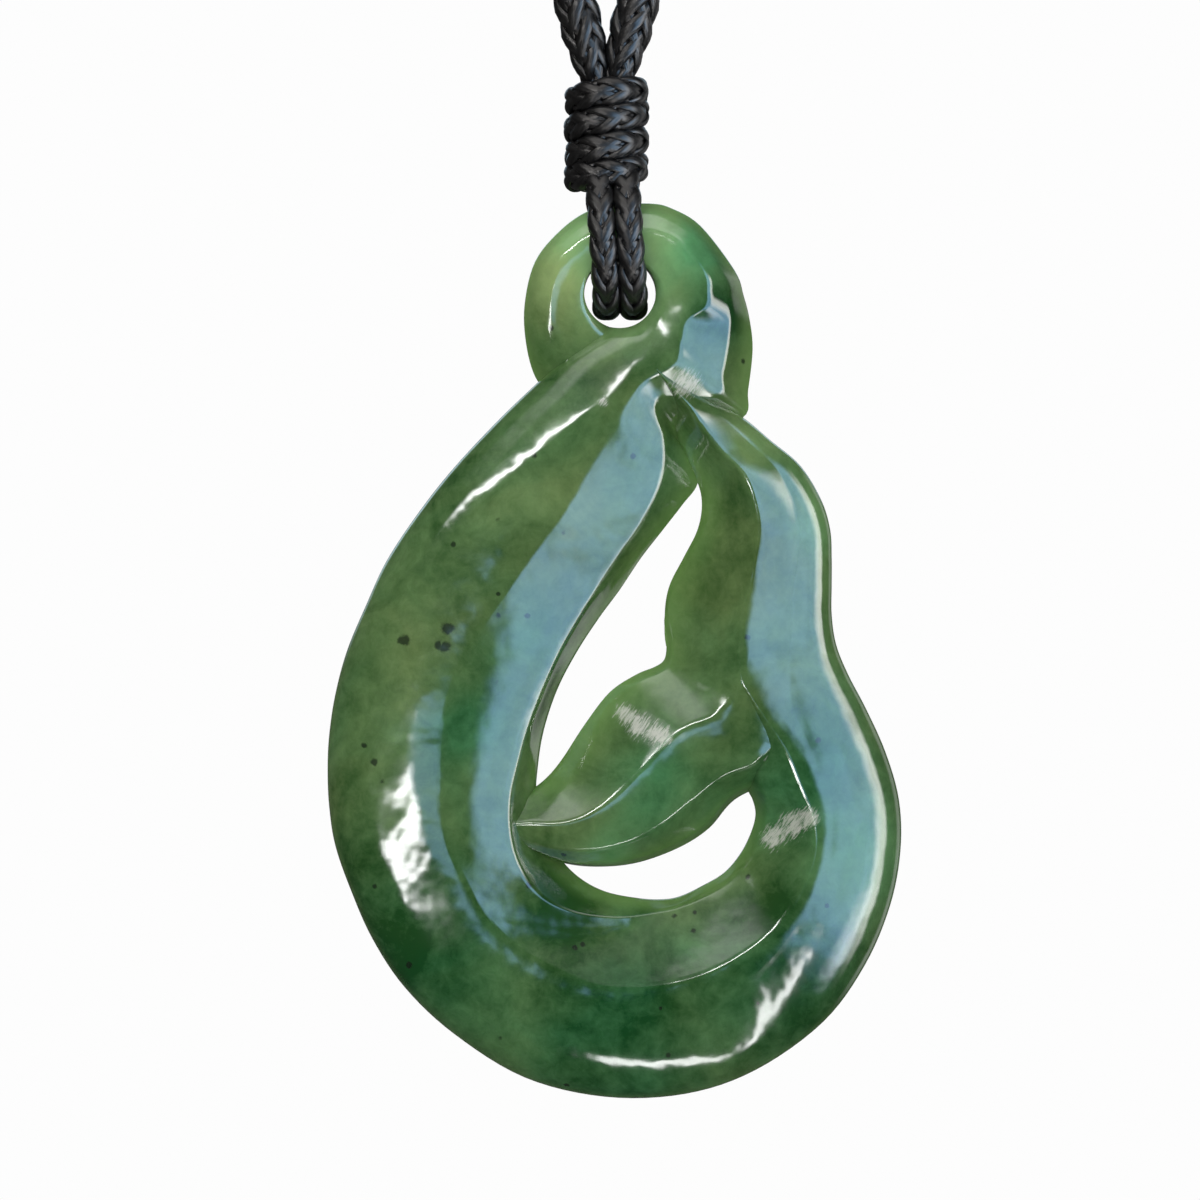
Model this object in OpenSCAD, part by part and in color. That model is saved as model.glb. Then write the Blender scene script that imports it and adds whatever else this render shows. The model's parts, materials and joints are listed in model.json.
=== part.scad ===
// Carved greenstone hook pendant that ends in a whale tail, on a black braided neck cord.
// Millimetres. X is to the right as seen from the front, -Y is the front, +Z is up.
// The origin is at the nape, on the inner side of the cord, where the whole necklace hangs.

/* [Stone] */
// Scale of the carved outline, 1 is a stone 60 mm tall
stone_scale = 1; // [0.9:0.05:1.1]
// Scale of the stone's thickness, 1 is 8.4 mm at the thickest
thickness_scale = 1; // [0.9:0.05:1.05]
// Diameter of the hole that the loop strands pass through
hole_d = 4.8; // [4.8:0.1:5]
// Lengthwise steps between two rows of the band's table
band_steps = 2; // [1:1:2]

/* [Loop strands] */
// Diameter of each thin strand in the hole
strand_d = 1.7; // [1.5:0.1:1.7]
// Distance between the two strands' centre lines
strand_gap = 1.74; // [1.74:0.02:1.8]
// Sideways lean of the strands above the hole's centre, towards the knot
strand_lean = 0.07; // [0:0.01:0.08]

/* [Knot] */
// Number of cord wraps round the knot
wrap_count = 4; // [3:1:4]
// Height of one flattened wrap
wrap_h = 2.1; // [1.8:0.1:2.2]
// How far one wrap stands out from the knot's core
wrap_out = 1.1; // [0.8:0.1:1.2]
// Radius of the knot's core
core_r = 1.9; // [1.8:0.1:2]
// Slope of the wraps, lower at the left
wrap_tilt = 9; // [4:1:10]

/* [Neck cord] */
// Diameter of the thick braided cord
neck_d = 3.1; // [2.6:0.1:3.1]
// Diameter of its two ends where they go into the knot
neck_end_d = 1.5; // [1.3:0.1:1.5]

/* [Hidden] */

// The hole's centre is below and in front of the nape
hole_at = [0.9, -115 + neck_d / 2, -254.6];
// The knot stands above the hole, a little to its left
knot_x = -0.9;
knot_bottom = 6.9;
knot_pitch = (14.6 - knot_bottom - 0.2) / wrap_count;
cord_sides = 8;
hole_sides = 64;
bevel_lip = 0.03;
plug_grow = 0.85;
// The rim's upright side and the handles of the curve from it to the crown, as shares of the
// crown's height and place
rim_side = 0.2;
rim_fullness = 0.8;
crown_fullness = 0.1;
// How far the face between crown and crease bulges, as a share of its width
crowning = 0.03;
// The most that is left of half the thickness at the wall's foot
wall_foot = 0.4;

// Names of a table's columns. A row is one section across the band: two edge points in the plane of
// the carving, where the crown, crease and wall lie between them, and half the thickness at each.
RX = 0;
RZ = 1;
LX = 2;
LZ = 3;
CROWN = 4;
CREASE = 5;
WALL = 6;
CROWN_H = 7;
CREASE_H = 8;
WALL_H = 9;
HOLLOW = 10;
LIP_H = 11;

// The ribbon, from the ring's tucked end, clockwise round the hole, down the left side, round the
// bottom, up the right side, and into the tail's upper lobe
//  rx     rz     lx     lz  crown crease wall crown_h crease_h wall_h hollow lip_h
ribbon = [
  [ -0.2,  -2.6,  -4.6,  -7.0, 0.14, 0.62, 0.88,  1.70,  1.70,  1.20, -0.05,   0],
  [ -1.2,  -1.8,  -5.7,  -5.6, 0.13, 0.62, 0.87,  1.90,  1.90,  1.30, -0.06,   0],
  [ -1.8,  -0.9,  -6.3,  -3.4, 0.12, 0.62, 0.86,  2.00,  2.10,  1.50, -0.08,   0],
  [ -2.0,   0.0,  -6.4,  -0.8, 0.11, 0.62, 0.86,  2.15,  2.25,  1.60, -0.08,   0],
  [ -1.7,   1.0,  -5.7,   2.1, 0.11, 0.62, 0.86,  2.30,  2.40,  1.70, -0.06,   0],
  [ -1.2,   1.6,  -4.0,   4.2, 0.11, 0.62, 0.86,  2.40,  2.50,  1.75, -0.04,   0],
  [ -0.6,   1.9,  -2.1,   5.5, 0.11, 0.62, 0.86,  2.45,  2.55,  1.80, -0.04,   0],
  [  0.0,   2.0,   0.0,   5.9, 0.11, 0.58, 0.86,  2.50,  2.60,  1.80, -0.04,   0],
  [  0.6,   1.9,   2.0,   6.0, 0.11, 0.54, 0.86,  2.55,  2.65,  1.75, -0.04,   0],
  [  1.0,   1.7,   3.4,   5.7, 0.12, 0.60, 0.86,  2.55,  2.65,  1.70, -0.02,   0],
  [  1.5,   1.3,   5.4,   4.5, 0.13, 0.65, 0.86,  2.65,  2.80,  1.85,  0.00,   0],
  [  1.9,   0.7,   7.7,   1.5, 0.14, 0.66, 0.85,  2.80,  3.00,  2.10,  0.00,   0],
  [  2.0,   0.4,   8.3,  -0.2, 0.14, 0.63, 0.84,  2.85,  3.05,  1.95,  0.00,   0],
  [  2.0,   0.0,   8.7,  -1.8, 0.15, 0.56, 0.82,  2.90,  3.10,  2.15,  0.00,   0],
  [  1.9,  -0.7,   8.9,  -3.8, 0.16, 0.37, 0.77,  3.00,  3.20,  2.10,  0.02,   0],
  [  1.4,  -1.4,   8.6,  -6.5, 0.17, 0.38, 0.76,  3.10,  3.30,  2.20,  0.04,   0],
  [  0.7,  -2.0,   8.2,  -8.4, 0.20, 0.42, 0.77,  3.30,  3.45,  2.20,  0.05,   0],
  [ -0.5,  -2.2,   4.2,  -9.6, 0.32, 0.50, 0.66,  3.50,  3.60,  3.00,  0.04,   0],
  [ -3.4,  -4.0,   4.9, -11.3, 0.36, 0.47, 0.76,  3.75,  3.75,  2.70, -0.02,   0],
  [ -5.6,  -6.1,   5.2, -12.8, 0.30, 0.48, 0.79,  3.92,  3.85,  2.70, -0.10,   0],
  [ -8.1,  -8.5,   4.2, -14.2, 0.28, 0.51, 0.86,  4.00,  3.90,  2.55, -0.06,   0],
  [-11.1, -11.7,   2.8, -16.0, 0.24, 0.56, 0.90,  4.00,  3.95,  2.45, -0.06,   0],
  [-13.4, -14.6,   1.4, -17.8, 0.21, 0.57, 0.91,  3.95,  4.00,  2.45, -0.06,   0],
  [-15.6, -17.9,   0.0, -19.9, 0.19, 0.56, 0.91,  3.85,  4.05,  2.45, -0.08,   0],
  [-17.0, -20.9,  -1.4, -21.8, 0.18, 0.54, 0.92,  3.75,  4.10,  2.55, -0.12,   0],
  [-18.3, -24.0,  -2.9, -24.1, 0.18, 0.52, 0.93,  3.70,  4.15,  2.65, -0.18,   0],
  [-19.1, -27.0,  -4.2, -26.6, 0.18, 0.52, 0.94,  3.65,  4.20,  2.75, -0.25,   0],
  [-19.5, -29.7,  -5.1, -29.3, 0.19, 0.52, 0.93,  3.60,  4.20,  2.85, -0.32,   0],
  [-19.6, -32.0,  -5.5, -31.7, 0.20, 0.53, 0.91,  3.60,  4.20,  2.95, -0.32,   0],
  [-19.5, -34.4,  -5.6, -34.0, 0.22, 0.53, 0.88,  3.60,  4.20,  3.05, -0.28,   0],
  [-19.1, -37.0,  -5.0, -36.4, 0.24, 0.53, 0.84,  3.65,  4.20,  3.20, -0.15,   0],
  [-18.1, -39.9,  -3.8, -38.2, 0.26, 0.53, 0.80,  3.75,  4.20,  3.30,  0.00,   0],
  [-16.6, -43.3,  -2.5, -39.4, 0.27, 0.52, 0.79,  3.85,  4.20,  3.35,  0.08,   0],
  [-14.4, -46.6,  -0.9, -40.2, 0.28, 0.52, 0.82,  3.95,  4.20,  3.10,  0.12,   0],
  [-11.1, -49.7,   1.1, -40.6, 0.30, 0.53, 0.87,  4.00,  4.20,  2.60,  0.15,   0],
  [ -6.4, -52.6,   2.7, -40.7, 0.32, 0.54, 0.93,  4.00,  4.20,  2.00,  0.10,   0],
  [ -1.0, -53.9,   4.0, -40.5, 0.34, 0.57, 0.95,  4.00,  4.20,  1.70,  0.10,   0],
  [  4.4, -53.7,   5.5, -39.8, 0.38, 0.58, 0.95,  4.00,  4.20,  1.50,  0.10,   0],
  [  9.1, -52.1,   7.0, -38.9, 0.42, 0.59, 0.95,  4.00,  4.20,  1.50,  0.10,   0],
  [ 13.6, -48.9,   8.1, -37.6, 0.46, 0.58, 0.94,  3.95,  4.15,  1.50,  0.10,   0],
  [ 16.4, -45.1,   8.8, -36.2, 0.47, 0.58, 0.94,  3.95,  4.10,  1.60,  0.10,   0],
  [ 18.1, -41.1,   9.1, -35.0, 0.48, 0.58, 0.93,  3.90,  4.05,  1.70,  0.10,   0],
  [ 18.8, -37.4,   8.9, -34.0, 0.48, 0.60, 0.92,  3.85,  4.00,  1.90,  0.05,   0],
  [ 18.7, -34.0,   8.5, -33.2, 0.49, 0.64, 0.90,  3.80,  3.95,  2.60,  0.00,   0],
  [ 17.8, -30.8,   7.5, -30.6, 0.50, 0.66, 0.87,  3.65,  3.86,  2.80,  0.00,   0],
  [ 16.5, -27.9,   5.8, -27.7, 0.48, 0.70, 0.77,  3.40,  3.85,  2.70,  0.00,   0],
  [ 15.3, -25.6,   4.6, -25.8, 0.38, 0.69, 0.76,  3.10,  3.80,  2.80,  0.00,   0],
  [ 14.5, -23.6,   3.2, -24.0, 0.28, 0.57, 0.66,  2.70,  3.70,  2.30,  0.03,   0],
  [ 14.2, -21.6,   3.0, -21.7, 0.24, 0.54, 0.96,  2.50,  3.50,  0.90,  0.10,   0],
  [ 14.2, -19.6,   3.3, -19.7, 0.24, 0.51, 0.96,  2.45,  3.40,  0.90,  0.10,   0],
  [ 14.2, -17.8,   4.3, -17.7, 0.24, 0.53, 0.96,  2.40,  3.40,  0.90,  0.10,   0],
  [ 14.1, -15.9,   5.2, -15.9, 0.24, 0.55, 0.96,  2.40,  3.40,  0.90,  0.10,   0],
  [ 13.5, -13.9,   5.5, -14.2, 0.24, 0.57, 0.95,  2.30,  3.40,  0.90,  0.10,   0],
  [ 12.1, -11.6,   5.2, -12.7, 0.24, 0.56, 0.95,  2.30,  3.40,  1.00,  0.10,   0],
  [ 10.1,  -9.9,   4.2, -11.0, 0.24, 0.59, 0.94,  2.35,  3.45,  1.10,  0.10,   0],
  [  8.3,  -8.4,   3.6,  -9.6, 0.25, 0.60, 0.92,  2.60,  3.50,  1.30,  0.10,   0],
  [  6.5,  -7.4,   3.5,  -8.2, 0.26, 0.60, 0.90,  2.90,  3.70,  1.60,  0.10,   0],
  [  4.5,  -6.4,   3.0,  -6.8, 0.28, 0.60, 0.90,  3.20,  3.85,  2.00,  0.00,   0],
  [  2.6,  -5.1,   2.3,  -5.3, 0.35, 0.60, 0.90,  3.50,  3.90,  2.80,  0.00,   0]
];
// Rows at which the ribbon is cut, so that no solid passes through itself
ring_end = 13;
tail_start = 45;

// The tail's lower lobe, from its pointed end to its root in the band. Its crown is a second crease.
lobe = [
  [ -8.0, -35.7,  -8.1, -35.3, 0.30, 0.60, 0.90,  2.10,  2.20,  1.70,  0.00, 1.8],
  [ -7.2, -36.6,  -7.5, -34.8, 0.22, 0.60, 0.92,  2.40,  2.60,  1.60,  0.00, 2.0],
  [ -5.7, -37.5,  -6.4, -33.7, 0.18, 0.56, 0.94,  2.60,  2.80,  1.30,  0.10, 1.9],
  [ -3.6, -38.3,  -5.0, -32.6, 0.17, 0.50, 0.95,  2.70,  3.00,  0.80,  0.00, 1.5],
  [ -1.2, -38.5,  -3.9, -31.3, 0.16, 0.48, 0.96,  2.85,  3.15,  0.60,  0.00, 1.2],
  [  1.3, -38.2,  -2.4, -29.0, 0.16, 0.48, 0.96,  2.95,  3.30,  0.55,  0.00, 1.1],
  [  4.0, -37.2,  -0.7, -26.8, 0.18, 0.52, 0.96,  3.05,  3.45,  0.70,  0.00, 1.1],
  [  6.0, -35.9,   1.1, -25.6, 0.20, 0.57, 0.96,  3.15,  3.50,  1.10,  0.00, 1.1],
  [  7.7, -34.0,   2.3, -25.1, 0.17, 0.57, 0.96,  3.35,  3.65,  1.10,  0.00, 1.2],
  [ 10.6, -32.4,   2.9, -24.7, 0.15, 0.55, 0.96,  3.50,  3.75,  1.10,  0.00, 1.2],
  [ 13.0, -29.5,   3.1, -24.1, 0.18, 0.53, 0.96,  3.10,  3.82,  1.10,  0.00, 1.2],
  [ 14.0, -25.8,   3.1, -23.1, 0.25, 0.55, 0.96,  2.20,  3.72,  1.00,  0.00, 1.2],
  [ 13.8, -21.7,   3.0, -21.7, 0.25, 0.52, 0.96,  2.00,  3.48,  0.90,  0.00, 1.2],
  [ 13.4, -19.9,   3.7, -19.9, 0.25, 0.50, 0.96,  1.80,  3.00,  0.70,  0.00, 1.2]
];

// Route of one loop strand in depth and height: out of the knot, down the ring's front, through
// the hole, and up the back
//   y     z
strand_route = [
  [-0.9,  9.5],
  [-1.3,  8.3],
  [-2.2,  7.2],
  [-3.2,  6.0],
  [-3.8,  4.5],
  [-3.9,  2.7],
  [-3.4,  1.0],
  [-1.9, -0.5],
  [ 0.0, -1.0],
  [ 1.9, -0.5],
  [ 3.4,  1.0],
  [ 3.9,  2.7],
  [ 3.8,  4.5],
  [ 3.2,  6.0],
  [ 2.2,  7.2],
  [ 1.3,  8.3],
  [ 0.9,  9.5]
];

// Route of the right half of the neck cord, from the knot to the nape
neck_route = [
  [ 0.8, -115, -241.5],
  [ 0.8, -115, -240.5],
  [ 1.0, -115, -239.4],
  [ 1.6, -115, -237],
  [ 2.5, -115, -233.5],
  [ 3.9, -115, -228],
  [ 8.4, -115, -210],
  [18.6, -115, -170],
  [28.7, -115, -130],
  [38.3, -113,  -92],
  [47,   -108,  -60],
  [54,    -97,  -36],
  [58,    -80,  -20],
  [59,    -62,  -11],
  [57,    -44,   -6],
  [50,    -26,   -3],
  [38,    -12,   -1],
  [20,     -3,    0],
  [ 0,      0,    0]
];
// Where the end's taper begins and where the cord is at its full width
taper_from = -240.5;
taper_to = -236;

function mix(a, b, t) = a + (b - a) * t;

function unit(v) = v / norm(v);

function clamp(v, low, high) = max(low, min(high, v));

// A point on the smooth curve through four neighbours, between the second and the third
function curve_point(a, b, c, d, t) =
  0.5 * (2 * b + (c - a) * t + (2 * a - 5 * b + 4 * c - d) * t * t
  + (3 * b - a - 3 * c + d) * t * t * t);

// A table's rows with smooth rows put in between
function smooth_rows(rows, steps) = let (last = len(rows) - 1) concat(
  [for (i = [0 : last - 1], s = [0 : steps - 1])
    curve_point(rows[max(i - 1, 0)], rows[i], rows[i + 1], rows[min(i + 2, last)], s / steps)],
  [rows[last]]
);

function band_width(row) = norm([row[LX] - row[RX], row[LZ] - row[RZ]]);

function bulge(row) = crowning * (row[CREASE] - row[CROWN]) * band_width(row);

// The slope with which the face from crown to crease begins
function rise(row) = (row[CREASE_H] - row[CROWN_H] + 4 * bulge(row)) / (row[CREASE] - row[CROWN]);

// The ends and handles of the curve from the rim to the crown
function rim_curve(row) = let (back = row[CROWN] * crown_fullness) [
  [0, rim_side * row[CROWN_H]],
  [0, rim_fullness * row[CROWN_H]],
  [row[CROWN] - back, row[CROWN_H] - back * rise(row)],
  [row[CROWN], row[CROWN_H]]
];

function on_curve(ends, t) = ends[0] * pow(1 - t, 3) + ends[1] * 3 * t * pow(1 - t, 2)
  + ends[2] * 3 * t * t * (1 - t) + ends[3] * pow(t, 3);

// The outer face of a section as [place across, half thickness]: the rim's side, then a full curve
// up to the crown, or a lip and a straight bevel
function outer_face(row, count) = let (ends = rim_curve(row)) concat(
  [[0, 0]],
  [for (i = [0 : count]) let (t = i / count)
    row[LIP_H] < 0.5
      ? on_curve(ends, t)
      : [mix(bevel_lip, row[CROWN], t), mix(row[LIP_H], row[CROWN_H], t)]]
);

// The face from the crown to the crease, a little rounded
function crown_face(row, count) = [for (i = [1 : count]) let (t = i / count)
  [mix(row[CROWN], row[CREASE], t),
    mix(row[CROWN_H], row[CREASE_H], t) + bulge(row) * 4 * t * (1 - t)]
];

// The face from the crease to the wall, hollowed, or rounded where the hollow is negative
function bevel_face(row, count) = [for (i = [1 : count]) let (t = i / count)
  [mix(row[CREASE], row[WALL], t),
    mix(row[CREASE_H], row[WALL_H], t) - row[HOLLOW] * 4 * t * (1 - t)]
];

// The wall, straight down to a thin edge
function wall_face(row) = [[1, min(wall_foot, row[WALL_H] / 2)], [1, 0]];

function half_section(row) =
  concat(outer_face(row, 4), crown_face(row, 2), bevel_face(row, 2), wall_face(row));

// A closed section in space, front half first, then the back half, which mirrors it
function section(row, grow = 1) = let (
  half = half_section(row),
  last = len(half) - 1,
  place = function (p, side) let (across = 0.5 + (p[0] - 0.5) * grow) [
    mix(row[RX], row[LX], across) * stone_scale,
    side * p[1] * grow * thickness_scale,
    mix(row[RZ], row[LZ], across) * stone_scale
  ]
) concat(
  [for (i = [0 : last]) place(half[i], -1)],
  [for (i = [last - 1 : -1 : 1]) place(half[i], 1)]
);

// A solid skinned over sections that all have the same number of points
module skin(sections) {
  count = len(sections[0]);
  last = len(sections) - 1;
  faces = concat(
    [[for (i = [count - 1 : -1 : 0]) i]],
    [for (k = [0 : last - 1], i = [0 : count - 1]) let (n = (i + 1) % count)
      [k * count + i, k * count + n, (k + 1) * count + n, (k + 1) * count + i]],
    [[for (i = [0 : count - 1]) last * count + i]]
  );
  polyhedron(points = [for (s = sections) each s], faces = faces, convexity = 6);
}

// One stretch of the ribbon. Where another stretch follows or leads, a shrunken end reaches into it.
module stretch(rows, from, to) {
  last = len(rows) - 1;
  skin(concat(
    from > 0 ? [section(rows[from - 1], plug_grow)] : [],
    [for (i = [from : to]) section(rows[i])],
    to < last ? [section(rows[to + 1], plug_grow)] : []
  ));
}

// A ring of points round a route's point, across its direction
function cord_ring(at, along, sideways, radius) = let (
  across = unit(cross(along, sideways)),
  over = cross(across, unit(along))
) [for (i = [0 : cord_sides - 1]) let (a = 360 * (i + 0.5) / cord_sides)
  at + radius * (cos(a) * across + sin(a) * over)];

// A tube along points, with a radius and a sideways direction for each
module cord_tube(points, radii, sideways) {
  last = len(points) - 1;
  skin([for (i = [0 : last])
    cord_ring(points[i], points[min(i + 1, last)] - points[max(i - 1, 0)], sideways[i], radii[i])]);
}

// A ring's outline with its long axis along the knot, kept a little flat
module wrap_ring() {
  sides = 12;
  rotate_extrude($fn = 48)
    polygon([for (i = [0 : sides - 1]) let (a = 360 * (i + 0.5) / sides)
      [core_r - 0.1 + (wrap_out + 0.1) / 2 * (1 + cos(a)), (wrap_h + 0.1) / 2 * sin(a)]]);
}

module stone_hook() {
  rows = smooth_rows(ribbon, band_steps);
  lobe_rows = smooth_rows(lobe, band_steps);
  cuts = [0, ring_end * band_steps, tail_start * band_steps, len(rows) - 1];
  color("forestgreen")
    translate(hole_at)
    difference() {
      resize([0, 0, 0])
        union() {
          for (i = [0 : len(cuts) - 2])
            stretch(rows, cuts[i], cuts[i + 1]);
          skin([for (row = lobe_rows) section(row)]);
        }
      rotate([90, 0, 0])
        cylinder(d = hole_d, h = 12, center = true, $fn = hole_sides);
    }
}

module loop_strand(x) {
  route = smooth_rows(strand_route, 2);
  points = [for (p = route) [x - strand_lean * max(p[1], 0), p[0], p[1]]];
  color("black")
    translate(hole_at)
    cord_tube(points, [for (p = points) strand_d / 2], [for (p = points) [1, 0, 0]]);
}

module loop_strand_left() {
  loop_strand(-strand_gap / 2);
}

module loop_strand_right() {
  loop_strand(strand_gap / 2);
}

module wrapped_knot() {
  color("black")
    translate(hole_at + [knot_x, 0, knot_bottom]) {
      for (i = [0 : wrap_count - 1])
        translate([0, 0, knot_pitch * (i + 0.5)])
          rotate([0, -wrap_tilt, 0])
          wrap_ring();
      cylinder(r = core_r, h = knot_pitch * wrap_count, $fn = 48);
    }
}

module neck_cord() {
  half = smooth_rows(neck_route, 2);
  last = len(half) - 1;
  left = [for (p = half) [-p[0], p[1], p[2]]];
  points = concat(half, [for (i = [last - 1 : -1 : 0]) left[i]]);
  middle_y = neck_route[0][1] / 2;
  radii = [for (p = points)
    mix(neck_end_d, neck_d, clamp((p[2] - taper_from) / (taper_to - taper_from), 0, 1)) / 2];
  color("black")
    translate([0, neck_d / 2, 0])
    cord_tube(points, radii, [for (p = points) [p[0], p[1] - middle_y, 0]]);
}

stone_hook();
loop_strand_left();
loop_strand_right();
wrapped_knot();
neck_cord();
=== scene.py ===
"""A carved greenstone hook that ends in a whale tail, on a wrapped and braided cord.

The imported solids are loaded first, and each piece here is made round them, in metres.
The carving is described by the same rows as its solid, in millimetres from the centre of its hole.
"""

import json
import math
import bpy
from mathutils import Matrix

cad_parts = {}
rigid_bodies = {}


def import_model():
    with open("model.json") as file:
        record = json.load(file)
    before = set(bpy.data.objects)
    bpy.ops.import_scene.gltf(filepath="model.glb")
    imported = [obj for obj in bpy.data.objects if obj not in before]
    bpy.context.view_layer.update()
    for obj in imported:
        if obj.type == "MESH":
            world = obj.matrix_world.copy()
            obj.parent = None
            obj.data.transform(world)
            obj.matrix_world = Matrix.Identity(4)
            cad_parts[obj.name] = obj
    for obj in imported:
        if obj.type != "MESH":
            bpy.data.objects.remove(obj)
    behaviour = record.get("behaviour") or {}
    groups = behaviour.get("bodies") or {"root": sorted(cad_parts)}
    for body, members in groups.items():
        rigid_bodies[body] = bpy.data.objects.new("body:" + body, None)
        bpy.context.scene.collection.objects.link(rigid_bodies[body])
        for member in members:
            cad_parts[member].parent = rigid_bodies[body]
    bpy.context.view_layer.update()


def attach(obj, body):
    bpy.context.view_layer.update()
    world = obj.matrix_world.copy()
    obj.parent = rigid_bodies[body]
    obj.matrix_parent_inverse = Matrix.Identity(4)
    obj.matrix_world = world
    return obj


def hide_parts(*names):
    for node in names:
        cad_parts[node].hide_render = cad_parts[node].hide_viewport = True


bl_info = {
    "name": "Greenstone hook pendant",
    "version": (1, 0, 0),
    "blender": (4, 5, 0),
    "location": "View3D > Sidebar > Pendant",
    "description": "Makes the carved hook, its cords and knot, and a soft light studio",
    "category": "Object",
}

from typing import NamedTuple

import bpy
import numpy as np
from bpy.props import FloatProperty, FloatVectorProperty, IntProperty, PointerProperty
from mathutils import Vector

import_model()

MM = 0.001
# The centre of the stone's hole, and the middle plane of the carving with it
HOLE = np.array([0.9, -113.45, -254.6])

# Columns of the carving's tables. A row is one section across the band: two edge points, where the
# crown, crease and wall lie between them as shares of the width, half the thickness at each, how
# deep the bevel is hollowed, and half the height of an upright rim, or 0 where the rim is round
RX, RZ, LX, LZ, CROWN, CREASE, WALL, CROWN_H, CREASE_H, WALL_H, HOLLOW, LIP_H = range(12)

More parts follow.
